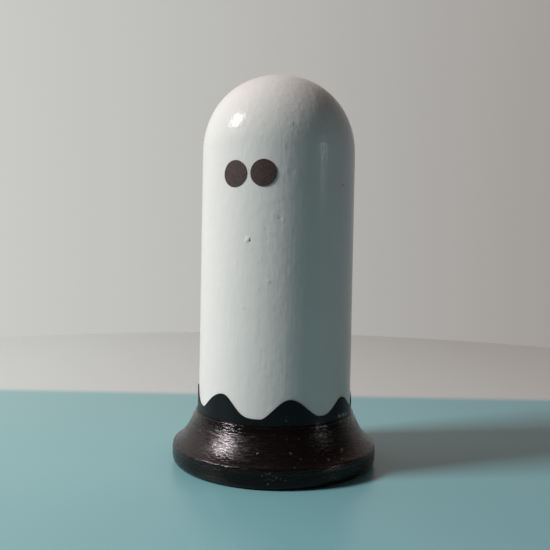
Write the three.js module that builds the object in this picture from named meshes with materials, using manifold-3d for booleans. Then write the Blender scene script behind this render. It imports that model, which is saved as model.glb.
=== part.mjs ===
// Ghost figurine: a turned wooden ghost, painted white, on a turned and stained base.
//
// Lengths are in millimetres and angles in degrees. +Z is up, the origin is the middle of the
// foot, at the table, and the ghost looks along -Y. The column has a tenon that is glued into
// the base and held by a screw from below. A felt pad covers the screw. A thin strip with a
// wavy cut is wrapped round the foot of the column, and the eyes are two round stick-on discs.

import * as THREE from 'three';
import { mergeVertices } from 'three/addons/utils/BufferGeometryUtils.js';
import Module from 'manifold-3d';

const wasm = await Module();
wasm.setup();

// Column: a straight cylinder with a domed top
const COLUMN_DIAMETER = 50;
const COLUMN_STRAIGHT = 83.4;     // from the shoulder to where the dome starts
const DOME_HEIGHT = 25.65;
const DOME_FULLNESS = 2.1;        // exponent of the dome's curve, where 2 is an ellipse
const COLUMN_FOOT_CHAMFER = 0.4;

// Tenon at the foot of the column, and the room round it in the base
const TENON_DIAMETER = 18;
const TENON_CHAMFER = 0.8;
const TENON_FIT = 0.15;           // glue room all round
const TENON_END_GAP = 0.6;        // glue room under the end

// Base: a foot roll, a short wall, a shoulder, and a cove that rises to a collar with the rim
const BASE_HEIGHT = 16.4;
const RIM_LEDGE = 0.9;            // how far the rim stands past the column
const RIM_ROUND = 0.4;
const COLLAR_HEIGHT = 1.8;        // the collar, from the end of the cove to the rim's top
const COLLAR_TAPER = 0.5;         // how much wider its foot is than the rim
const COLLAR_STEP = 0.15;         // fine step out from its foot to the cove
const FLARE = 7.4;                // how far the foot spreads past the rim
const FOOT_ROLL_WIDTH = 1.9;
const FOOT_ROLL_HEIGHT = 2.8;
const FOOT_WALL = 2.35;           // straight wall above the roll
const SHOULDER_ROUND = 0.9;       // tangent length of the shoulder's rounding
const SHOULDER_SLOPE = 31.4;      // rise of the flare where it leaves the shoulder
const COVE_TANGENT = 4.2;         // how long the flare holds that slope before it curves up
const WEB = 5.2;                  // wood left between the felt recess and the mortise

// Felt pad, let into the underside
const FELT_THICKNESS = 1;
const FELT_FIT = 0.3;
const FOOT_RING = 2.8;            // width of the wooden ring that stands on the table

// Countersunk wood screw with a cross recess
const SCREW_DIAMETER = 4.2;
const SCREW_LENGTH = 25;
const SCREW_TIP = 4;
const SCREW_HEAD_DIAMETER = 8.2;
const SCREW_HEAD_LAND = 0.4;      // straight edge of the head, below its cone
const SCREW_SINK = 0.3;           // how far the head lies below the recess floor
const SCREW_FIT = 0.15;           // clearance round the shank and the head in the base
const PILOT_FIT = 0.1;
const PILOT_END_GAP = 1.5;
const DRIVE_SPAN = 4.4;
const DRIVE_WIDTH = 1;
const DRIVE_DEPTH = 2;

// Hem strip: a thin strip, straight below and wavy above, butted together at the back
const GLUE_LINE = 0.05;           // film of glue under the strip and the eyes
const STRIP_THICKNESS = 0.25;
const STRIP_FOOT_GAP = 0.45;      // groove between the strip and the rim of the base
const STRIP_BUTT_GAP = 0.4;
const HEM_MEAN_HEIGHT = 5;        // above the rim of the base
const HEM_SWING = 2.9;            // how far the cut swings above and below its mean

// The turns of the cut, in order round the column. It is cut by hand, so no two waves match.
// angle: from the front, swing: height in swings from the mean, belly: how the flank to the
// next turn bows, where 1 is a plain cosine and more leaves the white lobe wider.
const HEM_TURNS = [
  { angle: -66, swing: 0.94, belly: 1.8 },
  { angle: -40, swing: -0.77, belly: 0.6 },
  { angle: -18, swing: 1.14, belly: 2.2 },
  { angle: 11, swing: -1.06, belly: 0.8 },
  { angle: 31.5, swing: 0.98, belly: 0.95 },
  { angle: 54.5, swing: -0.9, belly: 1.5 },
  { angle: 76.5, swing: 0.66, belly: 1.3 },
  { angle: 99, swing: -0.85, belly: 1 },
  { angle: 121, swing: 0.85, belly: 1.2 },
  { angle: 143.5, swing: -1, belly: 1 },
  { angle: 166, swing: 1.05, belly: 1.2 },
  { angle: 188.5, swing: -0.9, belly: 1 },
  { angle: 210, swing: 0.8, belly: 1.3 },
  { angle: 231, swing: -1, belly: 0.9 },
  { angle: 252, swing: 0.95, belly: 1.1 },
  { angle: 273, swing: -0.85, belly: 1 },
];

// Eyes: two round discs laid side by side on the column
const EYE_DIAMETER = 8;
const EYE_THICKNESS = 0.2;
const EYE_SPACING = 9.15;         // between their centres, along the surface
const EYE_DROP = 9;               // below where the dome starts

// Facets
const TURNED_STEPS = 80;
const DOME_STEPS = 14;
const CURVE_STEPS = 5;
const STRIP_STEPS = 160;
const EYE_STEPS = 40;
const SCREW_STEPS = 24;
const MERGE_DISTANCE = 1e-4;

// Sizes that follow from the ones above
const columnRadius = COLUMN_DIAMETER / 2;
const tenonRadius = TENON_DIAMETER / 2;
const shankRadius = SCREW_DIAMETER / 2;
const headRadius = SCREW_HEAD_DIAMETER / 2;
const pilotRadius = shankRadius + PILOT_FIT;
const rimRadius = columnRadius + RIM_LEDGE;
const footRadius = rimRadius + FLARE;
const ringRadius = footRadius - FOOT_ROLL_WIDTH - FOOT_RING;
const mortiseFloor = FELT_THICKNESS + WEB;
const tenonLength = BASE_HEIGHT - mortiseFloor - TENON_END_GAP;
const screwStart = FELT_THICKNESS + SCREW_SINK;
const pilotDepth = screwStart + SCREW_LENGTH + PILOT_END_GAP - BASE_HEIGHT;
const headConeHeight = headRadius - shankRadius;

const radians = THREE.MathUtils.degToRad;

// A turned piece: an outline of radius and height, spun about Z. Its first facet starts at -Y.
function turned(outline, steps) {
  return new THREE.LatheGeometry(outline.getPoints(CURVE_STEPS), steps).rotateX(Math.PI / 2);
}

// The same piece as a solid that can be cut: one closed mesh with shared vertices.
function toSolid(geometry) {
  const bare = new THREE.BufferGeometry();
  bare.setAttribute('position', geometry.getAttribute('position'));
  bare.setIndex(geometry.getIndex());
  const merged = mergeVertices(bare, MERGE_DISTANCE);
  const index = merged.getIndex().array;
  const triVerts = [];
  for (let i = 0; i < index.length; i += 3) {
    const [a, b, c] = index.slice(i, i + 3);
    if (a !== b && b !== c && c !== a) triVerts.push(a, b, c);
  }
  return new wasm.Manifold(new wasm.Mesh({
    numProp: 3,
    vertProperties: Float32Array.from(merged.getAttribute('position').array),
    triVerts: Uint32Array.from(triVerts),
  }));
}

function toGeometry(solid) {
  const { vertProperties, triVerts } = solid.getMesh();
  const geometry = new THREE.BufferGeometry();
  geometry.setAttribute('position', new THREE.BufferAttribute(vertProperties, 3));
  geometry.setIndex(new THREE.BufferAttribute(triVerts, 1));
  geometry.computeVertexNormals();
  return geometry;
}

function piece(name, geometry, color, roughness, metalness = 0) {
  const material = new THREE.MeshStandardMaterial({ color, roughness, metalness });
  const mesh = new THREE.Mesh(geometry, material);
  mesh.name = name;
  return mesh;
}

// A curve from the edge of the straight side to the pole of the dome. The outline's own
// curves are polynomials, so this one is given point by point from its formula.
class DomeCurve extends THREE.Curve {
  getPoint(t, target = new THREE.Vector2()) {
    const turn = t * Math.PI / 2;
    const out = Math.max(Math.cos(turn), 0) ** (2 / DOME_FULLNESS);
    const up = Math.sin(turn) ** (2 / DOME_FULLNESS);
    return target.set(t === 1 ? 0 : columnRadius * out, COLUMN_STRAIGHT + DOME_HEIGHT * up);
  }
}

// Column, from the tip of the pilot hole for the screw, round the tenon and the shoulder, and
// up to the top of the dome. Its own zero is the shoulder, which sits on the base.
function columnOutline() {
  const outline = new THREE.Path();
  outline.moveTo(0, pilotDepth);
  outline.lineTo(pilotRadius, pilotDepth - pilotRadius);
  outline.lineTo(pilotRadius, -tenonLength);
  outline.lineTo(tenonRadius - TENON_CHAMFER, -tenonLength);
  outline.lineTo(tenonRadius, -tenonLength + TENON_CHAMFER);
  outline.lineTo(tenonRadius, 0);
  outline.lineTo(columnRadius - COLUMN_FOOT_CHAMFER, 0);
  outline.lineTo(columnRadius, COLUMN_FOOT_CHAMFER);
  outline.lineTo(columnRadius, COLUMN_STRAIGHT);
  for (const point of new DomeCurve().getPoints(DOME_STEPS).slice(1)) {
    outline.lineTo(point.x, point.y);
  }
  return outline;
}

// Base, from the inner edge of the ring that it stands on, round the outside to the collar and
// the rim, and down through the mortise, the screw hole, its countersink and the felt recess.
function baseOutline() {
  const wallTop = FOOT_ROLL_HEIGHT + FOOT_WALL;
  const corner = new THREE.Vector2(footRadius, wallTop + SHOULDER_ROUND);
  const slope = radians(SHOULDER_SLOPE);
  const alongFlare = (distance) => [
    corner.x - distance * Math.cos(slope),
    corner.y + distance * Math.sin(slope),
  ];
  const collarFoot = BASE_HEIGHT - COLLAR_HEIGHT;
  const collarRadius = rimRadius + COLLAR_TAPER;
  const headSeat = FELT_THICKNESS + SCREW_SINK + SCREW_HEAD_LAND;

  const outline = new THREE.Path();
  outline.moveTo(ringRadius, 0);
  outline.lineTo(footRadius - FOOT_ROLL_WIDTH, 0);
  outline.quadraticCurveTo(footRadius, 0, footRadius, FOOT_ROLL_HEIGHT);
  outline.lineTo(footRadius, wallTop);
  outline.quadraticCurveTo(corner.x, corner.y, ...alongFlare(SHOULDER_ROUND));
  outline.quadraticCurveTo(
    ...alongFlare(SHOULDER_ROUND + COVE_TANGENT), collarRadius + COLLAR_STEP, collarFoot);
  outline.lineTo(collarRadius, collarFoot);
  outline.lineTo(rimRadius, BASE_HEIGHT - RIM_ROUND);
  outline.quadraticCurveTo(rimRadius, BASE_HEIGHT, rimRadius - RIM_ROUND, BASE_HEIGHT);
  outline.lineTo(tenonRadius + TENON_FIT, BASE_HEIGHT);
  outline.lineTo(tenonRadius + TENON_FIT, mortiseFloor);
  outline.lineTo(shankRadius + SCREW_FIT, mortiseFloor);
  outline.lineTo(shankRadius + SCREW_FIT, headSeat + headConeHeight);
  outline.lineTo(headRadius + SCREW_FIT, headSeat);
  outline.lineTo(headRadius + SCREW_FIT, FELT_THICKNESS);
  outline.lineTo(ringRadius, FELT_THICKNESS);
  outline.closePath();
  return outline;
}

// Screw, from the middle of its head to its tip, with the cross recess cut into the head.
function screwGeometry() {
  const outline = new THREE.Path();
  outline.moveTo(0, 0);
  outline.lineTo(headRadius, 0);
  outline.lineTo(headRadius, SCREW_HEAD_LAND);
  outline.lineTo(shankRadius, SCREW_HEAD_LAND + headConeHeight);
  outline.lineTo(shankRadius, SCREW_LENGTH - SCREW_TIP);
  outline.lineTo(0, SCREW_LENGTH);
  let screw = toSolid(turned(outline, SCREW_STEPS));
  for (const [spanX, spanY] of [[DRIVE_SPAN, DRIVE_WIDTH], [DRIVE_WIDTH, DRIVE_SPAN]]) {
    screw = screw.subtract(toSolid(new THREE.BoxGeometry(spanX, spanY, 2 * DRIVE_DEPTH)));
  }
  return toGeometry(screw);
}

// Height of the wavy cut above the rim, at an angle in degrees from the front.
function hemHeight(angle) {
  const first = HEM_TURNS[0].angle;
  const around = first + THREE.MathUtils.euclideanModulo(angle - first, 360);
  const last = HEM_TURNS.findLastIndex((turn) => turn.angle <= around);
  const from = HEM_TURNS[last];
  const next = HEM_TURNS[(last + 1) % HEM_TURNS.length];
  const span = THREE.MathUtils.euclideanModulo(next.angle - from.angle, 360);
  const along = (around - from.angle) / span;
  const [low, high] = from.swing < next.swing ? [from, next] : [next, from];
  const climb = low === from ? along : 1 - along;
  const rise = ((1 - Math.cos(Math.PI * climb)) / 2) ** from.belly;
  return HEM_MEAN_HEIGHT + HEM_SWING * THREE.MathUtils.lerp(low.swing, high.swing, rise);
}

// Hem strip: a row of four-cornered sections that follow the cut round the column, from one
// side of the butt joint at the back to the other, closed by a flat end at each side of it.
function stripGeometry() {
  const inner = columnRadius + GLUE_LINE;
  const outer = inner + STRIP_THICKNESS;
  const halfButt = THREE.MathUtils.radToDeg(STRIP_BUTT_GAP / 2 / inner);
  const positions = [];
  const index = [];
  for (let step = 0; step <= STRIP_STEPS; step += 1) {
    const angle = THREE.MathUtils.lerp(-180 + halfButt, 180 - halfButt, step / STRIP_STEPS);
    const [x, y] = [Math.sin(radians(angle)), -Math.cos(radians(angle))];
    const top = hemHeight(angle);
    for (const [radius, z] of
      [[inner, STRIP_FOOT_GAP], [outer, STRIP_FOOT_GAP], [outer, top], [inner, top]]) {
      positions.push(radius * x, radius * y, z);
    }
    if (step === 0) continue;
    const section = 4 * step;
    for (let side = 0; side < 4; side += 1) {
      const [a, b] = [section - 4 + side, section - 4 + (side + 1) % 4];
      index.push(a, a + 4, b + 4, a, b + 4, b);
    }
  }
  const end = 4 * STRIP_STEPS;
  index.push(0, 1, 2, 0, 2, 3, end, end + 2, end + 1, end, end + 3, end + 2);
  const geometry = new THREE.BufferGeometry();
  geometry.setAttribute('position', new THREE.Float32BufferAttribute(positions, 3));
  geometry.setIndex(index);
  geometry.computeVertexNormals();
  return geometry;
}

// An eye: a round punch, square to the column at the eye's middle, takes a disc out of a thin
// sleeve that fits the column. The disc's own zero is on the column's axis.
function eyeGeometry(side) {
  const inner = columnRadius + GLUE_LINE;
  const outer = inner + EYE_THICKNESS;
  const sleeve = new THREE.Path();
  sleeve.moveTo(inner, -EYE_DIAMETER);
  sleeve.lineTo(outer, -EYE_DIAMETER);
  sleeve.lineTo(outer, EYE_DIAMETER);
  sleeve.lineTo(inner, EYE_DIAMETER);
  sleeve.closePath();
  const punch = new THREE.CylinderGeometry(
    EYE_DIAMETER / 2, EYE_DIAMETER / 2, COLUMN_DIAMETER, EYE_STEPS);
  punch.translate(0, -COLUMN_DIAMETER / 2 - EYE_DIAMETER, 0);
  punch.rotateZ(side * EYE_SPACING / 2 / columnRadius);
  return toGeometry(toSolid(turned(sleeve, TURNED_STEPS)).intersect(toSolid(punch)));
}

function buildBase() {
  const base = new THREE.Group();
  base.add(piece('turned_base', turned(baseOutline(), TURNED_STEPS), 0x2a2020, 0.4));

  const screw = piece('centre_screw', screwGeometry(), 0xb9b5a8, 0.35, 1);
  screw.position.z = screwStart;
  base.add(screw);

  const feltRadius = ringRadius - FELT_FIT;
  const felt = new THREE.CylinderGeometry(feltRadius, feltRadius, FELT_THICKNESS, TURNED_STEPS);
  felt.rotateX(Math.PI / 2);
  const pad = piece('felt_pad', felt, 0x1c1c1e, 0.95);
  pad.position.z = FELT_THICKNESS / 2;
  base.add(pad);
  return base;
}

// The ghost and what is stuck to it, measured from the shoulder that sits on the base.
function buildGhost() {
  const ghost = new THREE.Group();
  ghost.position.z = BASE_HEIGHT;
  ghost.add(piece('ghost_column', turned(columnOutline(), TURNED_STEPS), 0xdfe2df, 0.3));
  ghost.add(piece('hem_strip', stripGeometry(), 0x101618, 0.25));
  for (const [name, side] of [['left_eye_disc', -1], ['right_eye_disc', 1]]) {
    const eye = piece(name, eyeGeometry(side), 0x3a302f, 0.8);
    eye.position.z = COLUMN_STRAIGHT - EYE_DROP;
    ghost.add(eye);
  }
  return ghost;
}

const figurine = new THREE.Group();
figurine.add(buildBase(), buildGhost());

export default figurine;
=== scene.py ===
"""Ghost figurine: a turned ghost in white enamel on a stained base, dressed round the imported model.

Each sub-assembly is a class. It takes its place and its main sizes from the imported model, adds
the fine shape that the plain solids leave out, and gives itself its finish. Fields hold
millimetres and degrees, and Blender's own lengths are metres. The ghost looks along -Y.
"""

import logging
import math
from collections.abc import Callable
from dataclasses import dataclass
from enum import Enum
from functools import partial

import bpy
import numpy as np
from mathutils import Matrix, Vector


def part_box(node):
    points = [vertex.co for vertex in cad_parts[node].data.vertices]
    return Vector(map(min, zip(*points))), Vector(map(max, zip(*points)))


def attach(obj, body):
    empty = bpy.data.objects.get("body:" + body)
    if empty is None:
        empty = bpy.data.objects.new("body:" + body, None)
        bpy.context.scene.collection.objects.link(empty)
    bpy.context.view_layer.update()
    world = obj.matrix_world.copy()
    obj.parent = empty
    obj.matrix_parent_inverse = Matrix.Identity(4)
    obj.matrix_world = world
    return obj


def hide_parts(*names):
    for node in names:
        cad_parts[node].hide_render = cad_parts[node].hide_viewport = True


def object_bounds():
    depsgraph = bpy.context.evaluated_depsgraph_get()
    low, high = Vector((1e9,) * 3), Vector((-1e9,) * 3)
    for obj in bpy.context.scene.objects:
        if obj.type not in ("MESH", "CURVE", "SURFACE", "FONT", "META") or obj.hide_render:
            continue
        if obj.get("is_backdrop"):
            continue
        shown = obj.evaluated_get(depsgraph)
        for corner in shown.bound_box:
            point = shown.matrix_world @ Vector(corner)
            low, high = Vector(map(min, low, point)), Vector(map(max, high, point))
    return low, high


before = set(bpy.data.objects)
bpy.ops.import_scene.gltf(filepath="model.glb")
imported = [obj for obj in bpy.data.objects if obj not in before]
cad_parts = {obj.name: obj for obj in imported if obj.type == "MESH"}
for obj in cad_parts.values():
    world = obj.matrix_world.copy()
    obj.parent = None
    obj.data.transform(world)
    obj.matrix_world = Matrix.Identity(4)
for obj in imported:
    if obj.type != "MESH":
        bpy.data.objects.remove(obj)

MM = 0.001
PER_SQUARE_CM = 1e4
FULL_TURN = 2 * math.pi
BODY = "root"
MIX_A, MIX_B = 6, 7                  # the colour inputs of Blender's Mix node
RANDOM_LEAST, RANDOM_MOST = 2, 3     # the number inputs of its Random Value node
NIB_SPACING = 0.6                    # of the noise that makes the nibs' outlines ragged
NIB_RAGGEDNESS = 0.7                 # how far an outline strays, as a share of a nib's reach

log = logging.getLogger("ghost_figurine")

Point = tuple[float, float]
Span = tuple[float, float]
Colour = tuple[float, float, float, float]
Numbers = tuple[tuple[str, float], ...]
Piece, Material, Given = bpy.types.Object, bpy.types.Material, bpy.types.NodeOutputs
Node, Socket = bpy.types.Node, bpy.types.NodeSocket
Source = Socket | Node
AddNode = Callable[..., Node]


class Shading(Enum):
    """How the facets of a mesh meet."""

    SMOOTH = 180.0
    CREASED = 32.0


def linear(colour: str) -> Colour:
    """Turns a colour from sRGB hex to the linear values that Blender's sockets take.

    Args:
        colour: Six hex digits after a hash, such as #e4e6e3.

    Returns:
        Red, green, blue and an alpha of 1.
    """
    channels = [int(colour[start:start + 2], 16) / 255 for start in (1, 3, 5)]
    straight = [c / 12.92 if c <= 0.04045 else ((c + 0.055) / 1.055) ** 2.4 for c in channels]
    return straight[0], straight[1], straight[2], 1.0


def add_node(tree: bpy.types.NodeTree, kind: str, inputs: dict | list = (), **settings) -> Node:
    """Adds a node to a tree, with its settings and its links.

    Args:
        tree: The material, world or geometry tree.
        kind: Blender's name of the node's type, where a shader node's goes without ShaderNode.
            The operation may follow it.
        inputs: The inputs in order, or some by name or number. Each is a value, what feeds it,
            or a list of what feeds it. A node feeds it from its first output in use.
        **settings: The node's own properties.

    Returns:
        The new node.
    """
    kind, *operation = kind.split()
    node = tree.nodes.new(kind if "Node" in kind else f"ShaderNode{kind}")
    for name, value in (*settings.items(), *(("operation", one) for one in operation)):
        setattr(node, name, value)
    for name, given in inputs.items() if isinstance(inputs, dict) else enumerate(inputs):
        for value in given if isinstance(given, list) else [given]:
            if isinstance(value, Node):
                value = next(output for output in value.outputs if output.enabled)
            if isinstance(value, Socket):
                tree.links.new(value, node.inputs[name])
            else:
                node.inputs[name].default_value = value
    return node


def layer_colours(add: AddNode, ground: str | Source,
                  *layers: tuple[Source, str | Source]) -> Source:
    """Lays colours over each other, as coats of paint are.

    Args:
        add: Adds a node to the tree.
        ground: The first colour.
        *layers: How much of each further colour shows, and that colour.

    Returns:
        What gives the colour.
    """
    for share, coat in layers:
        below, over = (linear(one) if isinstance(one, str) else one for one in (ground, coat))
        ground = add("Mix", {"Factor": share, MIX_A: below, MIX_B: over}, data_type="RGBA")
    return ground


def per_metre(spacing_mm: float) -> float:
    """The scale at which a noise has one feature for each spacing."""
    return 1 / (spacing_mm * MM)


# Finishes


@dataclass(frozen=True)
class Finish:
    """What all finishes share: the material's name and how its tree starts and ends."""

    name: str

    def start(self) -> tuple[Material, AddNode, Socket]:
        """Makes the empty material, what adds a node to its tree, and its object coordinates."""
        material = bpy.data.materials.new(self.name)
        material.use_nodes = True
        material.node_tree.nodes.clear()
        add = partial(add_node, material.node_tree)
        return material, add, add("TexCoord").outputs["Object"]

    def close(self, add: AddNode, colour: Source, relief: list[tuple[Source, float]],
              inputs: dict, height: float | Source = 0.0) -> None:
        """Ends the tree with a surface that has relief.

        Args:
            add: Adds a node to the material's tree.
            colour: What gives the surface its colour.
            relief: The noises of the relief, each with its depth.
            inputs: The other inputs of the surface shader.
            height: Relief in metres that isn't a noise's.
        """
        for noise, depth in relief:
            height = add("Math MULTIPLY_ADD", [noise, depth * MM, height])
        bump = add("Bump", {"Height": height, "Distance": 1.0})
        shader = add("BsdfPrincipled", {"Base Color": colour, **inputs, "Normal": bump})
        add("OutputMaterial", {"Surface": shader})

    def nibs(self, add: AddNode, place: Socket) -> tuple[Source, Source]:
        """Draws the nibs and pits whose middles the film's relief stored on the mesh.

        Args:
            add: Adds a node to the material's tree.
            place: Object coordinates.

        Returns:
            What gives their height in metres, and what gives how much of the speck colour shows.
        """
        offset, extent, lift, dirt = (
            add("Attribute", attribute_name=f"nib_{name}").outputs
            for name in ("offset", "reach", "lift", "dirt"))
        noise = add("TexNoise", {"Vector": place, "Scale": per_metre(NIB_SPACING), "Detail": 2.0})
        centred = add("VectorMath SUBTRACT", [noise.outputs["Color"], (0.5, 0.5, 0.5)])
        wide = add("Math MULTIPLY", [extent["Fac"], 2 * NIB_RAGGEDNESS])
        strayed = add("VectorMath SCALE", {0: centred, "Scale": wide})
        from_middle = add("VectorMath", [offset["Vector"], strayed])
        far = add("VectorMath LENGTH", [from_middle])
        share = add("MapRange", [far, 0.0, extent["Fac"], 1.0, 0.0],
                    interpolation_type="SMOOTHSTEP")
        core = add("Math POWER", [share, 2.0])
        return tuple(add("Math MULTIPLY", [part, most["Fac"]])
                     for part, most in ((share, lift), (core, dirt)))


@dataclass(frozen=True)
class BrushedEnamel(Finish):
    """Gloss alkyd enamel, brushed by hand on sealed wood.

    The eye sees a clean near-white with a wet gloss. Low brush marks run up and down, the film
    is uneven like orange peel, and a few specks of dust are caught in it.
    """

    name: str = "brushed_white_enamel"
    white: str = "#e9e2dd"
    thin_white: str = "#e0dad5"      # where the brush left less paint
    dirt: str = "#4a443f"            # darker colour in the middles of the listed nibs and pits
    roughness: float = 0.13          # where the film is at its wettest
    roughness_change: float = 0.08   # how much rougher it is elsewhere
    gloss: float = 0.09              # lower than new paint's, as the film has dulled
    cloud_spacing: float = 16.0
    mark_spacing: float = 0.9        # width of one bristle's mark
    mark_length: float = 9.0
    mark_depth: float = 0.055
    peel_spacing: float = 2.4
    peel_depth: float = 0.09

    def material(self) -> Material:
        """Builds the material."""
        material, add, place = self.start()
        drawn_out = add("Mapping", {
            "Vector": place, "Scale": (1, 1, self.mark_spacing / self.mark_length)})
        marks = add("TexNoise", {
            "Vector": drawn_out, "Scale": per_metre(self.mark_spacing), "Detail": 3.0,
            "Roughness": 0.6})
        peel = add("TexNoise", {
            "Vector": place, "Scale": per_metre(self.peel_spacing), "Detail": 1.0})
        clouds = add("TexNoise", {
            "Vector": place, "Scale": per_metre(self.cloud_spacing), "Detail": 2.0})
        nib_height, dirt = self.nibs(add, place)
        paint = layer_colours(add, self.white, (clouds, self.thin_white), (dirt, self.dirt))
        dulled = add("Math MULTIPLY_ADD", [clouds, self.roughness_change, self.roughness])
        self.close(add, paint, [(marks, self.mark_depth), (peel, self.peel_depth)], {
            "Roughness": dulled, "IOR": 1.5, "Specular IOR Level": self.gloss}, nib_height)
        return material


@dataclass(frozen=True)
class StainedWood(Finish):
    """Turned softwood, stained dark brown and varnished once.

    The eye sees near-black brown with a red cast. The stain is darker in the pores, which the
    turning drew out round the piece, and the varnish has a broken satin shine over the fine
    lines of the tool.
    """

    name: str = "stained_varnished_wood"
    brown: str = "#110c0a"
    dark: str = "#070505"
    dust: str = "#9a918e"            # pale dust caught in the varnish, partly a painted highlight where the nibs catch the light
    glint: str = "#ffeef0"           # a rosy cast in the varnish's shine
    roughness: float = 0.19
    pore_roughness: float = 0.15     # how much rougher the pores are
    pore_span: Span = (0.38, 0.62)   # the noise's values at a pore's edge and in its middle
    gloss: float = 0.44
    foot_gloss: float = 0.24         # the wall under the step got less varnish
    foot_height: float = 4.8
    foot_blur: float = 0.3
    pool_height: float = 14.0        # from here up the varnish pooled, and is smoother
    pool_blur: float = 0.2
    pool_roughness: float = 0.55     # as a share of the roughness below
    line_pitch: float = 0.58         # between the tool's lines; the pores share it
    line_length: float = 2.5
    line_depth: float = 0.17
    cloud_spacing: float = 9.0

    def material(self) -> Material:
        """Builds the material."""
        material, add, place = self.start()
        along = add("Attribute", attribute_name="along").outputs["Fac"]
        x, y, z = add("SeparateXYZ", [place]).outputs
        stretched = add("Math MULTIPLY", [along, self.line_length / self.line_pitch])
        round_piece = add("CombineXYZ", [x, y, stretched])
        lines = add("TexNoise", {
            "Vector": round_piece, "Scale": per_metre(self.line_length), "Detail": 2.5,
            "Roughness": 0.6, "Distortion": 0.4})
        clouds = add("TexNoise", {
            "Vector": place, "Scale": per_metre(self.cloud_spacing), "Detail": 3.0})
        pores = add("MapRange", [lines, *self.pore_span])
        mottled = add("Math MULTIPLY", [pores, clouds])
        nib_height, dirt = self.nibs(add, place)
        # The pale dust colour is partly a painted highlight on the nibs.
        stain = layer_colours(add, self.brown, (mottled, self.dark), (dirt, self.dust))
        satin = add("Math MULTIPLY_ADD", [pores, self.pore_roughness, self.roughness])
        pooled, gloss = (
            add("MapRange", [z, start * MM, end * MM, below, above])
            for start, end, below, above in (
                (self.pool_height, self.pool_height + self.pool_blur, 1.0, self.pool_roughness),
                (self.foot_height - self.foot_blur, self.foot_height, self.foot_gloss,
                 self.gloss)))
        shine = add("Math MULTIPLY", [satin, pooled])
        self.close(add, stain, [(lines, self.line_depth)], {
            "Roughness": shine, "IOR": 1.5, "Specular IOR Level": gloss,
            "Specular Tint": linear(self.glint)}, nib_height)
        return material


@dataclass(frozen=True)
class GlossFilm(Finish):
    """Cast black vinyl film with a gloss face, cut by hand and rubbed down.

    The eye sees a deep blue-black that mirrors the room softly. It is a little wavy where it
    was rubbed down, with pale patches at one side, near the base: dried glue, and a painted
    reflection of the rim's edge catching the light.
    """

    name: str = "black_gloss_film"
    black: str = "#06060a"
    # Pale patch colour: dried glue, and near the rim a painted reflection.
    glue: str = "#8b9092"
    glint: str = "#f4f0f6"           # a faint violet cast in the film's shine
    roughness: float = 0.36
    glue_roughness: float = 0.3      # how much rougher the glue is
    glue_span: Span = (0.45, 0.7)    # the noise's values where the glue starts and is thick
    wave_spacing: float = 3.5
    wave_depth: float = 0.012
    smear_spacing: float = 1.6

    def material(self) -> Material:
        """Builds the material."""
        material, add, place = self.start()
        smear = add("Attribute", attribute_name="smear").outputs["Fac"]
        waves = add("TexNoise", {
            "Vector": place, "Scale": per_metre(self.wave_spacing), "Detail": 1.0})
        wiped = add("TexNoise", {
            "Vector": place, "Scale": per_metre(self.smear_spacing), "Detail": 4.0})
        broken = add("MapRange", [wiped, *self.glue_span])
        left = add("Math MULTIPLY", [broken, smear])
        shine = add("Math MULTIPLY_ADD", [left, self.glue_roughness, self.roughness])
        film = layer_colours(add, self.black, (left, self.glue))
        self.close(add, film, [(waves, self.wave_depth)], {
            "Roughness": shine, "IOR": 1.46, "Specular IOR Level": 0.35,
            "Specular Tint": linear(self.glint)})
        return material


@dataclass(frozen=True)
class MottledFinish(Finish):
    """A finish of two colours, mixed by one fine noise that is also its relief."""

    first: str
    second: str
    spacing: float
    depth: float
    noise: Numbers
    shader: Numbers
    span: Span = (0.0, 1.0)          # the noise's values at which each colour is alone

    def material(self) -> Material:
        """Builds the material."""
        material, add, place = self.start()
        noise = add("TexNoise", {
            "Vector": place, "Scale": per_metre(self.spacing), **dict(self.noise)})
        share = add("MapRange", [noise, *self.span])
        colour = layer_colours(add, self.first, (share, self.second))
        self.close(add, colour, [(noise, self.depth)], dict(self.shader))
        return material


@dataclass(frozen=True)
class StickerPaper(MottledFinish):
    """Matt dark brown sticker paper.

    The eye sees a flat warm brown with no shine and a faint mottle of fibres. They are drawn
    coarser than real ones, which wouldn't show.
    """

    name: str = "brown_sticker_paper"
    first: str = "#231614"
    second: str = "#583f3b"
    spacing: float = 0.5
    depth: float = 0.01
    noise: Numbers = (("Detail", 5.0), ("Roughness", 0.65))
    shader: Numbers = (("Roughness", 0.72), ("Specular IOR Level", 0.4))
    span: Span = (0.32, 0.68)


@dataclass(frozen=True)
class ZincPlate(MottledFinish):
    """Zinc plate on cold-headed steel.

    The eye sees a grey metal with a faint yellow cast and a cloudy, slightly dull shine.
    """

    name: str = "zinc_plated_steel"
    first: str = "#b9b6a9"
    second: str = "#a09f98"
    spacing: float = 1.2
    depth: float = 0.002
    noise: Numbers = (("Detail", 4.0),)
    shader: Numbers = (("Metallic", 1.0), ("Roughness", 0.36))


@dataclass(frozen=True)
class PressedFelt(MottledFinish):
    """Black pressed wool felt.

    The eye sees a dead matt charcoal with tangled fibres and a soft bloom at its edge.
    """

    name: str = "black_pressed_felt"
    first: str = "#1b1b1d"
    second: str = "#333336"
    spacing: float = 0.5
    depth: float = 0.15
    noise: Numbers = (("Detail", 6.0), ("Roughness", 0.7), ("Distortion", 1.5))
    shader: Numbers = (("Roughness", 0.95), ("Sheen Weight", 0.4), ("Sheen Roughness", 0.5))


# Mesh and tree helpers


def reach(node: str) -> tuple[float, float, float]:
    """How far out a turned node reaches, its foot and its top, in millimetres."""
    low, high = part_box(node)
    return high.x / MM, low.z / MM, high.z / MM


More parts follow.
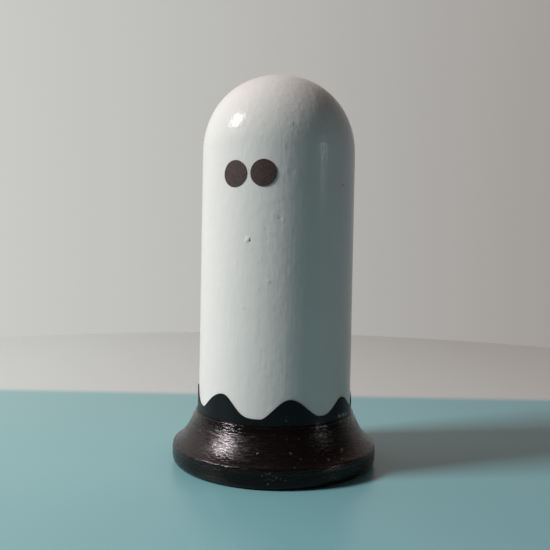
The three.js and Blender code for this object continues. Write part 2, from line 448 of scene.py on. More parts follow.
def smooth_path(*spans: tuple[Point, Point, Point], steps: int) -> list[Point]:
    """Points on rounded corners that follow each other.

    Args:
        *spans: Start, corner and end of each rounding, a quadratic curve.
        steps: Points for each rounding, after its start.

    Returns:
        The points, in order, without repeats.
    """
    points = [spans[0][0]]
    for start, corner, end in spans:
        if start != points[-1]:
            points.append(start)
        for t in np.linspace(0, 1, steps + 1)[1:]:
            weights = ((1 - t) ** 2, 2 * t * (1 - t), t ** 2)
            points.append(tuple(sum(w * p[axis] for w, p in zip(weights, (start, corner, end)))
                                for axis in (0, 1)))
    return points


def subdivide(outline: list[Point], spacing: float) -> list[Point]:
    """Adds points to the long stretches of an outline, so that none is longer than spacing."""
    fine = [outline[0]]
    for start, end in zip(outline, outline[1:]):
        count = max(1, math.ceil(math.dist(start, end) / spacing))
        fine += [(start[0] + (end[0] - start[0]) * k / count,
                  start[1] + (end[1] - start[1]) * k / count) for k in range(1, count + 1)]
    return fine


def finish_mesh(name: str, vertices: list, faces: list, shading: Shading,
                values: dict[str, list] | None = None) -> Piece:
    """Makes an object from vertices and faces.

    Args:
        name: The piece's name.
        vertices: Places in millimetres.
        faces: Corner numbers of each face, facing out.
        shading: How the facets meet.
        values: Named values, one for each vertex.

    Returns:
        The object, at the origin, in the scene.
    """
    mesh = bpy.data.meshes.new(name)
    mesh.from_pydata((np.array(vertices) * MM).tolist(), [], faces)
    for key, numbers in (values or {}).items():
        attribute = mesh.attributes.new(key, "FLOAT", "POINT")
        attribute.data.foreach_set("value", np.asarray(numbers, np.float32))
    mesh.shade_smooth()
    if shading is not Shading.SMOOTH:
        mesh.set_sharp_from_angle(angle=math.radians(shading.value))
    mesh.validate()
    piece = bpy.data.objects.new(name, mesh)
    bpy.context.scene.collection.objects.link(piece)
    return piece


def revolve(name: str, outline: list[Point], steps: int,
            shading: Shading = Shading.SMOOTH) -> Piece:
    """Spins an outline about Z. Each vertex keeps its length along the outline as "along".

    Args:
        name: The piece's name.
        outline: Radius and height in millimetres, up the outside. It starts and ends on the
            axis, or it closes on itself.
        steps: Facets round the piece.
        shading: How the facets meet.

    Returns:
        The closed piece.
    """
    closed = outline[0] == outline[-1]
    rows = outline[:-1] if closed else outline
    lengths = np.cumsum([0.0] + [math.dist(a, b) for a, b in zip(rows, rows[1:])])
    angles = np.arange(steps) * FULL_TURN / steps
    vertices, along, first, sizes = [], [], [], []
    for (radius, height), length in zip(rows, lengths):
        first.append(len(vertices))
        around = angles if radius > 0 else angles[:1]
        sizes.append(len(around))
        vertices += [(radius * math.sin(a), -radius * math.cos(a), height) for a in around]
        along += [length * MM] * len(around)
    faces = []
    for low in range(len(rows) if closed else len(rows) - 1):
        high = (low + 1) % len(rows)
        for step in range(steps):
            turn = (step + 1) % steps
            corners = [first[row] + side % sizes[row] for row, side in (
                (low, step), (low, turn), (high, turn), (high, step))]
            faces.append(list(dict.fromkeys(corners)))
    return finish_mesh(name, vertices, faces, shading, {"along": along})


def run_tree(piece: Piece, name: str, build: Callable, values: dict) -> None:
    """Builds a geometry tree, runs it on a piece and keeps the result as the piece's mesh.

    Args:
        piece: The piece, changed in place.
        name: The tree's name.
        build: Fills the tree from what adds a node to it, its inputs and each vertex's place,
            and returns the new geometry.
        values: A value for each of the tree's inputs, by name, with the material as "Material".
    """
    tree = bpy.data.node_groups.new(name, "GeometryNodeTree")
    for way in ("INPUT", "OUTPUT"):
        tree.interface.new_socket(name="Geometry", in_out=way, socket_type="NodeSocketGeometry")
    modifier = piece.modifiers.new(name, "NODES")
    for key, value in values.items():
        tree.interface.new_socket(name=key, in_out="INPUT",
                                  socket_type=f"NodeSocket{type(value).__name__.capitalize()}")
    add = partial(add_node, tree)
    given = add("NodeGroupInput").outputs
    built = build(add, given, add("GeometryNodeInputPosition"))
    real = add("GeometryNodeRealizeInstances", {"Geometry": built})
    painted = add("GeometryNodeSetMaterial", {"Geometry": real, "Material": given["Material"]})
    add("NodeGroupOutput", {"Geometry": painted})
    modifier.node_group = tree
    for item in tree.interface.items_tree:
        if item.name in values:
            modifier[item.identifier] = values[item.name]
    keep_result(piece)


def keep_result(piece: Piece) -> None:
    """Turns what a piece's modifiers make into its plain mesh and removes them."""
    depsgraph = bpy.context.evaluated_depsgraph_get()
    depsgraph.update()
    mesh = bpy.data.meshes.new_from_object(
        piece.evaluated_get(depsgraph), preserve_all_data_layers=True, depsgraph=depsgraph)
    piece.modifiers.clear()
    old = piece.data
    mesh.name = piece.name
    piece.data = mesh
    bpy.data.meshes.remove(old)


def place_piece(piece: Piece, node: str) -> None:
    """Fixes a finished piece to the body, in place of its plain solid.

    Args:
        piece: The finished piece.
        node: The solid that it stands for.
    """
    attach(piece, BODY)
    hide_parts(node)
    log.info("%s: %d faces, for %s", piece.name, len(piece.data.polygons), node)


# The surface of a painted or varnished turning


@dataclass(frozen=True)
class Blemish:
    """A nib of dust under the film, or a pit or chip in it.

    height is measured from the table, and lift is below zero for a pit. dirt is how much of the
    finish's speck colour shows in its middle: darker on the enamel, and on the base a pale dust that
    is partly a painted highlight.
    """

    angle: float
    height: float
    reach: float
    lift: float
    dirt: float = 0.0


@dataclass(frozen=True)
class Grain:
    """One kind of unevenness: the size of its features across and up the piece, and its depth."""

    across: float
    up: float
    depth: float


@dataclass(frozen=True)
class FilmRelief:
    """The real relief of a brushed film: marks, slow swells, tool lines and blemishes.

    The surface only sinks below the turned shape, apart from the nibs, so the piece keeps its
    size.
    """

    marks: Grain = Grain(1.6, 24.0, 0.04)
    swells: Grain = Grain(14.0, 14.0, 0.08)
    lines: Grain = Grain(9.0, 0.6, 0.0)
    dust_density: float = 0.15       # nibs of dust for each square centimetre
    dust_reach: Span = (0.3, 0.6)
    dust_lift: Span = (0.02, 0.07)
    dust_dirt: Span = (0.0, 0.1)
    seed: int = 7

    DUST_UNITS = {"reach": MM, "lift": MM, "dirt": 1.0}

    def build(self, add: AddNode, given: Given, place: Node) -> Node:
        """Fills the geometry tree. A noise sinks the surface by nothing at all to its depth.

        Args:
            add: Adds a node to the tree.
            given: The tree's inputs.
            place: Each vertex's place.

        Returns:
            What gives the new geometry.
        """
        along = add("GeometryNodeInputNamedAttribute", {"Name": "along"})
        x, y, z = add("SeparateXYZ", [place]).outputs
        sunk = 0.0
        for grain, height, detail in (
                ("marks", z, 2.0), ("swells", z, 2.0), ("lines", along, 1.0)):
            across, up, depth = (given[f"{grain}_{size}"] for size in ("across", "up", "depth"))
            spot = add("CombineXYZ", [x, y, height])
            size = add("CombineXYZ", [across, across, up])
            scaled = add("VectorMath DIVIDE", [spot, size])
            noise = add("TexNoise", {"Vector": scaled, "Scale": 1.0, "Detail": detail})
            below = add("Math SUBTRACT", [noise, 1.0])
            sunk = add("Math MULTIPLY_ADD", [below, depth, sunk])
        normal = add("GeometryNodeInputNormal")
        shift = add("VectorMath SCALE", {0: normal, "Scale": sunk})
        marked = self.mark_nibs(add, given, place)
        return add("GeometryNodeSetPosition", {"Geometry": marked, "Offset": shift})

    def mark_nibs(self, add: AddNode, given: Given, place: Node) -> Node:
        """Tells each vertex its nearest nib: one from the list, or dust that fell at random.

        The finish draws the nibs from this, finer than the mesh could hold them.

        Args:
            add: Adds a node to the tree.
            given: The tree's inputs.
            place: Each vertex's place.

        Returns:
            What gives the marked mesh.
        """
        fallen = add("GeometryNodeDistributePointsOnFaces", {
            "Mesh": given["Geometry"], "Density": given["dust_density"], "Seed": given["seed"]})
        for number, name in enumerate(self.DUST_UNITS):
            value = add("FunctionNodeRandomValue", {
                RANDOM_LEAST: given[f"least_{name}"], RANDOM_MOST: given[f"most_{name}"],
                "Seed": number})
            fallen = add("GeometryNodeStoreNamedAttribute", {
                "Geometry": fallen, "Name": f"nib_{name}", "Value": value})
        placed = add("GeometryNodeObjectInfo", {"Object": given["blemishes"]})
        as_points = add("GeometryNodeMeshToPoints", {"Mesh": placed.outputs["Geometry"]})
        cloud = add("GeometryNodeJoinGeometry", {"Geometry": [as_points, fallen]})
        nearest = add("GeometryNodeSampleNearest", {"Geometry": cloud})
        centre = add("GeometryNodeSampleIndex", {
            "Geometry": cloud, "Value": place, "Index": nearest}, data_type="FLOAT_VECTOR")
        offset = add("VectorMath SUBTRACT", [place, centre])
        marked = add("GeometryNodeStoreNamedAttribute", {
            "Geometry": given["Geometry"], "Name": "nib_offset", "Value": offset},
            data_type="FLOAT_VECTOR")
        for name in self.DUST_UNITS:
            own = add("GeometryNodeInputNamedAttribute", {"Name": f"nib_{name}"})
            value = add("GeometryNodeSampleIndex", {
                "Geometry": cloud, "Value": own, "Index": nearest})
            marked = add("GeometryNodeStoreNamedAttribute", {
                "Geometry": marked, "Name": f"nib_{name}", "Value": value})
        return marked

    def apply(self, piece: Piece, blemishes: tuple[Blemish, ...],
              outside: list[Point], material: Material) -> None:
        """Gives a revolved piece its relief and its material.

        Args:
            piece: The revolved piece, changed in place.
            blemishes: The listed blemishes.
            outside: The outline's outside, which says how far out a blemish's height lies.
            material: The finish.
        """
        heights, radii = zip(*sorted((height, radius) for radius, height in outside))
        middles = []
        for one in blemishes:
            radius, turn = float(np.interp(one.height, heights, radii)), math.radians(one.angle)
            middles.append((radius * math.sin(turn), -radius * math.cos(turn), one.height))
        marks = finish_mesh("blemishes", middles, [], Shading.SMOOTH, {
            f"nib_{name}": [getattr(one, name) * unit for one in blemishes]
            for name, unit in self.DUST_UNITS.items()})
        grains = {"marks": self.marks, "swells": self.swells, "lines": self.lines}
        values = {f"{name}_{size}": length * MM for name, grain in grains.items()
                  for size, length in vars(grain).items()}
        for name, unit in self.DUST_UNITS.items():
            least, most = getattr(self, f"dust_{name}")
            values |= {f"least_{name}": least * unit, f"most_{name}": most * unit}
        run_tree(piece, "film_relief", self.build, {
            **values, "dust_density": self.dust_density * PER_SQUARE_CM, "seed": self.seed,
            "blemishes": marks, "Material": material})
        bpy.data.objects.remove(marks)


# Sub-assemblies


class Turning:
    """What the turned pieces share: an outline that is spun, a relief and a finish."""

    OUTSIDE = 0.7                    # the outline's outside starts at this share of its reach

    def build(self) -> None:
        """Builds the piece, with its relief and its finish."""
        outline = self.outline()
        piece = revolve(self.PIECE, outline, self.steps, Shading.CREASED)
        least = self.OUTSIDE * reach(self.NODE)[0]
        outside = [point for point in outline if point[0] > least]
        self.relief.apply(piece, self.blemishes, outside, self.finish.material())
        place_piece(piece, self.NODE)


@dataclass
class GhostColumn(Turning):
    """The ghost itself: a turned column with a domed top and a tenon, in white enamel."""

    PIECE, NODE, SLOT = "painted_column", "ghost_column", "white_painted_wood"

    dome_height: float = 25.65
    dome_fullness: float = 2.1       # the power of the dome's superellipse
    foot_chamfer: float = 0.4
    tenon_diameter: float = 18.0
    tenon_chamfer: float = 0.8
    pilot_diameter: float = 4.4
    pilot_room: float = 1.5          # past the screw's tip
    steps: int = 320
    row_spacing: float = 0.48
    dome_steps: int = 84
    relief: FilmRelief = FilmRelief()
    finish: BrushedEnamel = BrushedEnamel()
    blemishes: tuple[Blemish, ...] = (
        Blemish(2.0, 70.8, 0.6, -0.26, 0.8), Blemish(0.6, 71.3, 1.5, 0.16),
        Blemish(29.0, 105.3, 1.2, 0.07, 0.1), Blemish(29.9, 91.1, 1.5, -0.08),
        Blemish(73.0, 88.7, 0.7, -0.08, 0.9), Blemish(22.1, 77.6, 1.1, -0.08, 0.15),
        Blemish(15.6, 58.9, 1.1, 0.07, 0.1), Blemish(-2.4, 51.0, 0.9, 0.07, 0.15),
        Blemish(33.0, 102.8, 1.3, 0.05), Blemish(38.0, 80.7, 1.2, 0.05),
    )

    def outline(self) -> list[Point]:
        """The column's outline, from the tip of the pilot hole round to the top of the dome."""
        radius, tenon_end, top = reach("ghost_column")
        shoulder = reach("turned_base")[2]
        pilot_end = reach("centre_screw")[2] + self.pilot_room
        pilot, tenon = self.pilot_diameter / 2, self.tenon_diameter / 2
        foot = [
            (0.0, pilot_end), (pilot, pilot_end - pilot), (pilot, tenon_end),
            (tenon - self.tenon_chamfer, tenon_end), (tenon, tenon_end + self.tenon_chamfer),
            (tenon, shoulder), (radius - self.foot_chamfer, shoulder)]
        spring = top - self.dome_height
        side = subdivide([(radius, shoulder + self.foot_chamfer), (radius, spring)],
                         self.row_spacing)
        power = 2 / self.dome_fullness
        dome = [(radius * math.cos(turn) ** power,
                 spring + self.dome_height * math.sin(turn) ** power)
                for turn in np.linspace(0, math.pi / 2, self.dome_steps + 1)[1:-1]]
        return foot + side + dome + [(0.0, top)]


@dataclass
class OgeeBase(Turning):
    """The turned base: foot roll, short wall, shoulder, cove, collar and rim.

    The wall has a fine step near its top and the cove ends in another at the collar. Both are
    rounded over, so that they catch the light.
    """

    PIECE, NODE, SLOT = "stained_base", "turned_base", "stained_wood"

    rim_round: float = 0.5
    flare: float = 7.25
    collar_height: float = 1.8
    collar_taper: float = 0.45
    collar_step: float = 0.28
    foot_roll_width: float = 1.9
    foot_roll_height: float = 2.8
    corner_height: float = 6.05      # where the wall and the flare would meet
    corner_lean: float = 0.05        # how far the wall leans out below that corner's rounding
    shoulder_round: float = 0.6
    shoulder_slope: float = 31.4
    cove_tangent: float = 4.2
    cove_lean: float = 0.04          # how far the cove's end leans out below the collar's step
    wall_step_height: float = 4.95
    wall_step: float = 0.03
    wall_lean: float = 0.16          # how far the wall leans in above its step
    step_round: float = 0.45         # how far down the steps are rounded over
    web: float = 5.2
    mortise_diameter: float = 18.3
    hole_diameter: float = 4.5
    head_land: float = 0.4
    head_room: float = 0.15
    felt_room: float = 0.3
    seam_radius: float = 25.2        # how far out the varnish fills the seam
    seam_height: float = 0.43
    steps: int = 420
    row_spacing: float = 0.22
    corner_steps: int = 12
    relief: FilmRelief = FilmRelief(
        Grain(1.6, 24.0, 0.0), Grain(9.0, 9.0, 0.05), Grain(16.0, 1.4, 0.05), dust_density=1.0,
        dust_lift=(0.05, 0.13), dust_dirt=(0.02, 0.16), seed=11)
    finish: StainedWood = StainedWood()
    blemishes: tuple[Blemish, ...] = (
        Blemish(51.8, 13.65, 1.4, 0.38, 0.95), Blemish(30.7, 9.66, 0.7, 0.16, 0.25),
        Blemish(64.0, 9.05, 0.8, 0.2, 0.45), Blemish(51.7, 7.46, 0.6, 0.15, 0.35),
        Blemish(31.6, 6.6, 0.5, 0.12, 0.25), Blemish(35.9, 8.31, 0.5, 0.1, 0.15),
        Blemish(11.9, 9.65, 0.5, 0.1, 0.1), Blemish(22.5, 4.1, 0.6, 0.12, 0.35),
        Blemish(26.8, 3.2, 0.5, 0.1, 0.3), Blemish(19.2, 5.1, 0.6, 0.12, 0.35),
        Blemish(18.4, 2.2, 0.6, 0.1, 0.3), Blemish(15.4, 4.4, 0.5, 0.1, 0.3),
        # Along the rim at the right these specks are pale dust, and partly a painted reflection of
        # the rim's edge catching the light.
        Blemish(71.5, 16.1, 0.8, 0.05, 0.3), Blemish(77.0, 16.2, 0.9, 0.08, 0.4),
        Blemish(84.0, 16.0, 1.1, 0.1, 0.4), Blemish(91.0, 15.6, 1.0, 0.06, 0.25),
    )

    def outline(self) -> list[Point]:
        """The base's closed outline, from its standing ring round the outside to the recess."""
        foot, _, top = reach("turned_base")
        felt, _, floor = reach("felt_pad")
        screw_head, screw_foot, _ = reach("centre_screw")
        column = reach("ghost_column")[0]
        rim = foot - self.flare
        collar = rim + self.collar_taper
        slope = math.radians(self.shoulder_slope)
        step, lip = self.wall_step_height, self.step_round

        def up_flare(distance: float) -> Point:
            """The point that far up the flare's straight part, from the wall's own line."""
            return (foot - distance * math.cos(slope),
                    self.corner_height + distance * math.sin(slope))

        turn_in = (self.wall_step + self.wall_lean) / math.cos(slope)
        corner = up_flare(turn_in)
        cove_start = up_flare(turn_in + self.shoulder_round)
        collar_foot = top - self.collar_height
        cove_end = collar + self.collar_step
        lip_start = (cove_end + self.cove_lean, collar_foot - lip)
        outside = smooth_path(
            ((foot - self.foot_roll_width, 0.0), (foot, 0.0), (foot, self.foot_roll_height)),
            ((foot, step - lip), (foot, step), (foot - self.wall_step, step)),
            ((corner[0] + self.corner_lean, corner[1] - self.shoulder_round), corner, cove_start),
            (cove_start, up_flare(self.shoulder_round + self.cove_tangent), lip_start),
            (lip_start, (cove_end, collar_foot), (collar, collar_foot)),
            ((rim, top - self.rim_round), (rim, top), (rim - self.rim_round, top)),
            steps=self.corner_steps)
        hole, mortise = self.hole_diameter / 2, self.mortise_diameter / 2
        head, head_seat = screw_head + self.head_room, screw_foot + self.head_land
        recess, mortise_floor = felt + self.felt_room, floor + self.web
        fill_top = top + self.seam_height
        inside = [
            (self.seam_radius, top), (self.seam_radius, fill_top), (column, fill_top),
            (column, top), (mortise, top), (mortise, mortise_floor), (hole, mortise_floor),
            (hole, head_seat + head - hole), (head, head_seat), (head, floor),
            (recess, floor), (recess, 0.0)]
        return subdivide(outside, self.row_spacing) + inside + [outside[0]]


def wrapped(add: AddNode, given: Given, place: Node) -> Node:
    """Fills the geometry tree that wraps a flat cut sticker round the column.

    The flat sticker has its length along X, its thickness with its glue along Y and its height
    along Z.

    Args:
        add: Adds a node to the tree.
        given: The tree's inputs.
        place: Each vertex's place.

    Returns:
        What gives the new geometry.
    """
    length, depth, up = add("SeparateXYZ", [place]).outputs
    radius = add("Math", [depth, given["radius"]])
    angle = add("Math DIVIDE", [length, given["radius"]])
    around = add("Math", [angle, given["facing"]])
    ahead = add("Math MULTIPLY", [radius, -1.0])
    height = add("Math", [up, given["height"]])
    upright = add("CombineXYZ", [0.0, ahead, height])
    round_column = add("VectorRotate", {"Vector": upright, "Angle": around},
                       rotation_type="Z_AXIS")
    return add("GeometryNodeSetPosition", {
        "Geometry": given["Geometry"], "Position": round_column})


@dataclass(frozen=True)
class Turn:
    """A turn of the hem's cut.

    swing is its height in swings from the mean, and belly says how the flank to the next turn
    bows: 1 is a plain cosine, and more leaves the white lobe wider.
    """

    angle: float
    swing: float
    belly: float


@dataclass(frozen=True)
class Smear:
    """A pale patch on the strip, at an angle from the front and a height: dried glue, and near the
    rim also a painted reflection of the rim's edge catching the light.
    """

    angle: float
    height: float
    half_angle: float
    half_height: float
    strength: float

    def strength_at(self, angle: float, height: float) -> float:
        """How much glue there is at a place."""
        far = math.hypot((angle - self.angle) / self.half_angle,
                         (height - self.height) / self.half_height)
        return self.strength * math.exp(-far * far)


@dataclass
class HemStrip:
    """The black strip round the foot of the column, cut in a wave along its top."""

    mean_height: float = 5.0
    swing: float = 2.9
    butt_gap: float = 0.4
    edge_round: float = 0.06
    glue: float = 0.04
    thickness: float = 0.3           # with the glue under it
    steps: int = 720
    rows: int = 10
    # The first two patches are glue with a painted reflection of the rim's edge; the third is a pale
    # speck higher up.
    smears: tuple[Smear, ...] = (
        Smear(76.0, 17.6, 7.0, 0.35, 2.4), Smear(86.0, 17.1, 6.0, 0.3, 2.0),
        Smear(29.3, 19.0, 1.0, 0.45, 6.0))
    finish: GlossFilm = GlossFilm()
    turns: tuple[Turn, ...] = (
        Turn(-66, 0.94, 1.8), Turn(-40, -0.77, 0.6), Turn(-18, 1.14, 2.2), Turn(11, -1.06, 0.8),
        Turn(31.5, 0.98, 0.95), Turn(54.5, -0.9, 1.5), Turn(76.5, 0.66, 1.3), Turn(99, -0.85, 1),
        Turn(121, 0.85, 1.2), Turn(143.5, -1, 1), Turn(166, 1.05, 1.2), Turn(188.5, -0.9, 1),
        Turn(210, 0.8, 1.3), Turn(231, -1, 0.9), Turn(252, 0.95, 1.1), Turn(273, -0.85, 1),
    )

    def top_edge(self, angle: float) -> float:
        """Height of the cut above the rim of the base.

        Args:
            angle: Degrees from the front.

        Returns:
            Millimetres.
        """
        start = self.turns[0].angle
        around = start + (angle - start) % 360
        number = max(i for i, turn in enumerate(self.turns) if turn.angle <= around)
        here, after = self.turns[number], self.turns[(number + 1) % len(self.turns)]
        share = (around - here.angle) / ((after.angle - here.angle) % 360)
        low, high = sorted((here, after), key=lambda turn: turn.swing)
        climb = share if low is here else 1 - share
        rise = ((1 - math.cos(math.pi * climb)) / 2) ** here.belly
        return self.mean_height + self.swing * (low.swing + (high.swing - low.swing) * rise)

    def build(self) -> None:
        """Builds the strip flat, wraps it round the column and gives it its gloss."""
        rim = reach("turned_base")[2]
        foot = reach("hem_strip")[1]
        radius = reach("ghost_column")[0]
        half = 180 - math.degrees(self.butt_gap / 2 / radius)
        soft, thick = self.edge_round, self.thickness
        vertices, smear = [], []
        for angle in np.linspace(-half, half, self.steps + 1):
            top = rim + self.top_edge(angle)
            section = [(self.glue, foot), (thick - soft, foot),
                       *((thick, z) for z in np.linspace(foot + soft, top - soft, self.rows)),
                       (thick - soft, top), (self.glue, top)]
            for depth, height in section:
                vertices.append((math.radians(angle) * radius, depth, height))
                smear.append(sum(one.strength_at(angle, height) for one in self.smears))
        ring = len(vertices) // (self.steps + 1)
        end = self.steps * ring
        faces = [list(range(ring)), [end + side for side in reversed(range(ring))]]
        for start in range(0, end, ring):
            for side in range(ring):
                a, b = start + side, start + (side + 1) % ring
                faces.append((a, a + ring, b + ring, b))
        piece = finish_mesh("hem_film", vertices, faces, Shading.CREASED, {"smear": smear})
        run_tree(piece, "wrap_round_column", wrapped, {
            "radius": radius * MM, "facing": 0.0, "height": 0.0,
            "Material": self.finish.material()})
        place_piece(piece, "hem_strip")


@dataclass
class StickOnEyes:
    """The two round eyes, cut flat from sticker paper and laid on the column."""

    glue: float = 0.01
    thickness: float = 0.16          # with the glue under it
    edge_round: float = 0.05
    steps: int = 96
    rings: int = 14
    finish: StickerPaper = StickerPaper()

    def flat_disc(self, name: str, radius: float) -> Piece:
        """A flat disc with a soft edge, its back on XZ and its face along +Y.

        Args:
            name: The piece's name.
            radius: The disc's radius.

        Returns:
            The disc.
        """
        soft, thick = self.edge_round, self.thickness
        rings = [(radius - soft) * k / self.rings for k in range(self.rings + 1)]
        outline = [(r, self.glue) for r in rings[:-1]] + [(radius, self.glue),
                                                          (radius, thick - soft)]
        outline += [(r, thick) for r in reversed(rings)]
        piece = revolve(name, outline, self.steps, Shading.CREASED)
        piece.data.transform(Matrix.Rotation(-math.pi / 2, 4, "X"))
        return piece

    def build(self) -> None:
        """Builds both eyes where the model has them."""
        column = reach("ghost_column")[0]
        material = self.finish.material()
        for side in ("left", "right"):
            low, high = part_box(f"{side}_eye_disc")
            middle = (low + high) / 2
            piece = self.flat_disc(f"{side}_eye", (high.z - low.z) / 2 / MM)
            run_tree(piece, "wrap_round_column", wrapped, {
                "radius": column * MM, "facing": math.atan2(middle.x, -middle.y),
                "height": middle.z, "Material": material})
            place_piece(piece, f"{side}_eye_disc")


@dataclass
class Underside:
    """What is hidden under the ghost: the wood screw and the felt pad that covers it."""

    thread_pitch: float = 1.8
    thread_depth: float = 0.55
    thread_flank: Span = (0.06, 0.24)    # where the groove starts and is full, in pitches
    plain_shank: float = 6.0
    shank_room: float = 0.1              # between the shank and the pilot hole
    tip: Point = (0.35, 0.15)            # the blunt tip's radius and height
    tip_length: float = 4.0
    head_land: float = 0.4
    drive_span: float = 4.4
    drive_width: float = 1.0
    drive_depth: float = 2.0
    screw_steps: int = 64
    screw_rows: float = 0.12
    felt_edge: float = 0.25
    felt_steps: int = 160
    felt_rows: float = 1.0
    zinc: ZincPlate = ZincPlate()
    felt: PressedFelt = PressedFelt()

    def threaded(self, add: AddNode, given: Given, place: Node) -> Node:
        """Fills the tree that sinks a helical groove between the turns of a screw's thread.

        Args:
            add: Adds a node to the tree.
            given: The tree's inputs.
            place: Each vertex's place.

        Returns:
            What gives the new geometry.
        """
        x, y, z = add("SeparateXYZ", [place]).outputs
        angle = add("Math ARCTAN2", [y, x])
        turns = add("Math DIVIDE", [angle, FULL_TURN])
        climbs = add("Math DIVIDE", [z, given["pitch"]])
        phase = add("Math SUBTRACT", [climbs, turns])
        groove = add("Math PINGPONG", [phase, 0.5])
        share = add("MapRange", [groove, *self.thread_flank])
        past_shank = add("Math GREATER_THAN", [z, given["start"]])
        sunk = add("Math MULTIPLY", [share, past_shank])
        outward = add("Math MULTIPLY", [sunk, given["outward"]])
        level = add("CombineXYZ", [x, y])
        away = add("VectorMath NORMALIZE", [level])
        shift = add("VectorMath SCALE", {0: away, "Scale": outward})
        return add("GeometryNodeSetPosition", {"Geometry": given["Geometry"], "Offset": shift})

    def cut_cross(self, piece: Piece, start: float) -> None:
        """Cuts the cross recess into the screw's head.

        Args:
            piece: The screw, changed in place.
            start: The height of the head's face.
        """
        faces = [(0, 2, 3, 1), (4, 5, 7, 6), (0, 1, 5, 4), (2, 6, 7, 3), (0, 4, 6, 2),
                 (1, 3, 7, 5)]
        spans = ((self.drive_span, self.drive_width), (self.drive_width, self.drive_span))
        for span_x, span_y in spans:
            corners = [(x * span_x / 2, y * span_y / 2, start + z * self.drive_depth)
                       for z in (-1, 1) for y in (-1, 1) for x in (-1, 1)]
            cutter = finish_mesh("drive_cutter", corners, faces, Shading.CREASED)
            cut = piece.modifiers.new("cross", "BOOLEAN")
            cut.object = cutter
            cut.solver = "EXACT"
            keep_result(piece)
            bpy.data.objects.remove(cutter)

    def build_screw(self) -> None:
        """Builds the countersunk wood screw."""
        head, start, end = reach("centre_screw")
        shank = GhostColumn.pilot_diameter / 2 - self.shank_room
        neck = start + self.head_land + head - shank
        outline = [(0.0, start), (head, start), (head, start + self.head_land)]
        outline += subdivide([(shank, neck), (shank, end - self.tip_length),
                              (self.tip[0], end - self.tip[1])], self.screw_rows)
        piece = revolve("countersunk_screw", outline + [(0.0, end)], self.screw_steps,
                        Shading.CREASED)
        run_tree(piece, "screw_thread", self.threaded, {
            "pitch": self.thread_pitch * MM, "outward": -self.thread_depth * MM,
            "start": (neck + self.plain_shank) * MM, "Material": self.zinc.material()})
        self.cut_cross(piece, start)
        place_piece(piece, "centre_screw")

    def build_felt(self) -> None:
        """Builds the felt pad, with a soft edge and an uneven face."""
        (radius, _, thick), soft = reach("felt_pad"), self.felt_edge
        outline = [(0.0, 0.0)] + smooth_path(
            ((radius - soft, 0.0), (radius, 0.0), (radius, soft)),
            ((radius, thick - soft), (radius, thick), (radius - soft, thick)), steps=4)
        outline = subdivide(outline + [(0.0, thick)], self.felt_rows)
        piece = revolve("felt_disc", outline, self.felt_steps)
        piece.data.materials.append(self.felt.material())
        place_piece(piece, "felt_pad")

    def build(self) -> None:
        """Builds the hidden pieces."""
        self.build_screw()
        self.build_felt()


# Studio


def turned(angle: float, axis: str) -> Matrix:
    """A turn by an angle in degrees."""
    return Matrix.Rotation(math.radians(angle), 4, axis)


@dataclass
class PhotoCamera:
    """The camera of the photograph, as it was fitted to the figurine's outlines."""

    azimuth: float = 20.74           # to the right of the way the ghost looks
    distance: float = 213.0          # from the axis, level
    height: float = 64.36
    pitch: float = 1.046             # below level
    yaw: float = -0.159
    roll: float = 1.062
    focal_pixels: float = 643.0
    frame_pixels: int = 550
    sensor: float = 36.0

    def build(self) -> None:
        """Makes the camera and makes it the scene's."""
        data = bpy.data.cameras.new("photo_camera")
        data.sensor_width = self.sensor
        data.lens = self.focal_pixels / self.frame_pixels * self.sensor
        data.clip_start, data.clip_end = 0.01, 50.0
        camera = bpy.data.objects.new("photo_camera", data)
        camera.matrix_world = (
            turned(self.azimuth, "Z")
            @ Matrix.Translation((0, -self.distance * MM, self.height * MM))
            @ turned(-self.yaw, "Z") @ turned(90 - self.pitch, "X") @ turned(self.roll, "Z"))
        bpy.context.scene.collection.objects.link(camera)
        bpy.context.scene.camera = camera


@dataclass(frozen=True)
class Softbox:
    """A rectangular soft light that points at the figurine.

    azimuth is to the right of the line from the figurine to the camera.
    """

    name: str
    azimuth: float
    elevation: float
    distance: float
    width: float
    height: float
    watts: float
    colour: str = "#ffffff"

    def build(self, camera_azimuth: float, target: Vector) -> None:
        """Makes the light.

        Args:
            camera_azimuth: Where the camera stands, in degrees from the ghost's front.
            target: What the light points at, in metres.
        """
        data = bpy.data.lights.new(self.name, "AREA")
        data.shape = "RECTANGLE"
        data.size, data.size_y = self.width * MM, self.height * MM
        data.energy = self.watts
        data.color = linear(self.colour)[:3]
        lamp = bpy.data.objects.new(self.name, data)
        lamp.matrix_world = (
            Matrix.Translation(target) @ turned(camera_azimuth + self.azimuth, "Z")
            @ turned(90 - self.elevation, "X") @ Matrix.Translation((0, 0, self.distance * MM)))
        lamp.visible_camera = False
        bpy.context.scene.collection.objects.link(lamp)


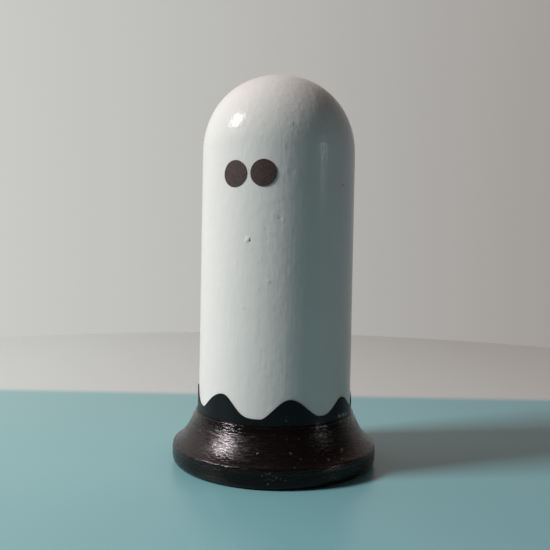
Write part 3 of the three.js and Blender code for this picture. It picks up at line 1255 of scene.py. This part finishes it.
@dataclass
class Studio:
    """A pale table top, a pale wall behind it and soft lights, the strongest at the left. The floor's
    colour is painted lighter at the left and darker at the right, a painted falloff of the window's
    light.
    """

    camera_azimuth: float            # from the ghost's front
    # Painted light: each left colour is painted as lit by the window, and each right one painted
    # dimmer.
    table_left: str = "#90bebf"
    table_right: str = "#74abb3"
    beyond_left: str = "#dbdcd8"     # the pale floor behind the table top, painted lighter at the left
    beyond_right: str = "#cdc9c5"
    table_depth: float = 100.0       # from the figurine's axis to the table's far edge
    edge_blur: float = 14.0
    fade_width: float = 300.0        # over which the painted light falls off from the left colour to the right one
    floor_radius: float = 380.0
    floor_steps: int = 192
    floor_roughness: float = 0.3
    tooth_spacing: float = 1.5
    tooth_depth: float = 0.01
    lit_patch: str = "#ddd7d3"       # where the window lights the wall, behind and to the left
    patch_way: tuple[float, float, float] = (0.5, -1.0, 0.7)     # ahead, right and up
    patch_fade: Span = (0.88, 0.96)  # the fades are cosines of angles to a direction
    wall_left: str = "#c9cac6"
    wall_right: str = "#a19d9a"      # further from the window
    wall_fade: Span = (-0.39, 0.39)
    upper_wall: str = "#9a7c6c"
    upper_fade: Span = (0.4, 0.8)
    dark_room: str = "#2d2626"       # the room on the camera's side
    room_fade: Span = (0.15, 0.7)
    window: Softbox = Softbox("window", -74.5, 35.0, 1150.0, 270.0, 280.0, 14.8, "#f7f9fb")
    far_window: Softbox = Softbox("far_window", 67.0, 10.1, 900.0, 14.0, 90.0, 0.12)
    far_window_top: Softbox = Softbox("far_window_top", 67.3, 13.7, 900.0, 20.0, 20.0, 0.25)

    def directions(self) -> tuple[Vector, Vector]:
        """The camera's way ahead and its right, level, in the figurine's own axes."""
        turn = math.radians(self.camera_azimuth)
        return (Vector((-math.sin(turn), math.cos(turn), 0)),
                Vector((math.cos(turn), math.sin(turn), 0)))

    def share_along(self, add: AddNode, place: Source, way: Vector, span: Span,
                    fade: str) -> Node:
        """What goes from 0 to 1 over a span of the distance along a direction."""
        far = add("VectorMath DOT_PRODUCT", [place, way])
        return add("MapRange", [far, *span], interpolation_type=fade)

    def build_floor(self) -> None:
        """Makes the floor: a table top, and what lies level with it beyond its far edge."""
        finish = Finish("pale_floor")
        material, add, place = finish.start()
        tooth = add("TexNoise", {
            "Vector": place, "Scale": per_metre(self.tooth_spacing), "Detail": 2.0})
        ahead, right = self.directions()
        edge, blur, fade = (size * MM for size in (self.table_depth, self.edge_blur / 2,
                                                   self.fade_width / 2))
        beyond = self.share_along(add, place, ahead, (edge - blur, edge + blur), "SMOOTHSTEP")
        # Painted light falloff: the floor's colour darkens from left to right.
        share = self.share_along(add, place, right, (-fade, fade), "LINEAR")
        pale = layer_colours(add, self.beyond_left, (share, self.beyond_right))
        colour = layer_colours(add, self.table_left, (share, self.table_right), (beyond, pale))
        finish.close(add, colour, [(tooth, self.tooth_depth)], {
            "Roughness": self.floor_roughness, "Specular IOR Level": 0.5})
        angles = np.arange(self.floor_steps) * FULL_TURN / self.floor_steps
        rim = [(self.floor_radius * math.cos(a), self.floor_radius * math.sin(a), 0.0)
               for a in angles]
        floor = finish_mesh("studio_floor", rim, [list(range(len(rim)))], Shading.SMOOTH)
        floor.data.materials.append(material)
        floor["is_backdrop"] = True

    def build_walls(self) -> None:
        """Makes the world: a pale wall behind the table and a darker room in front."""
        world = bpy.data.worlds.new("studio_walls")
        world.use_nodes = True
        world.node_tree.nodes.clear()
        add = partial(add_node, world.node_tree)
        ahead, right = self.directions()
        up = Vector((0, 0, 1))
        patch = sum((way * far for way, far in zip((ahead, right, up), self.patch_way)), Vector())
        towards = partial(self.share_along, add, add("TexCoord").outputs["Generated"])
        wall = layer_colours(
            add, self.wall_right, (towards(-right, self.wall_fade, "LINEAR"), self.wall_left),
            (towards(up, self.upper_fade, "SMOOTHSTEP"), self.upper_wall))
        room = layer_colours(
            add, self.dark_room, (towards(ahead, self.room_fade, "SMOOTHSTEP"), wall),
            (towards(patch.normalized(), self.patch_fade, "SMOOTHSTEP"), self.lit_patch))
        light = add("Background", {"Color": room})
        add("OutputWorld", {"Surface": light})
        bpy.context.scene.world = world

    def build(self) -> None:
        """Makes the floor, the walls and the lights."""
        low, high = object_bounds()
        self.build_floor()
        self.build_walls()
        for lamp in (self.window, self.far_window, self.far_window_top):
            lamp.build(self.camera_azimuth, (low + high) / 2)
        bpy.context.scene.view_settings.view_transform = "Standard"


def main() -> None:
    """Builds the figurine and its studio."""
    logging.basicConfig(level=logging.INFO, format="%(name)s: %(message)s")
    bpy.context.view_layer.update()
    camera = PhotoCamera()
    camera.build()
    for part in (GhostColumn(), OgeeBase(), HemStrip(), StickOnEyes(), Underside()):
        part.build()
    Studio(camera.azimuth).build()


if __name__ == "__main__":
    main()
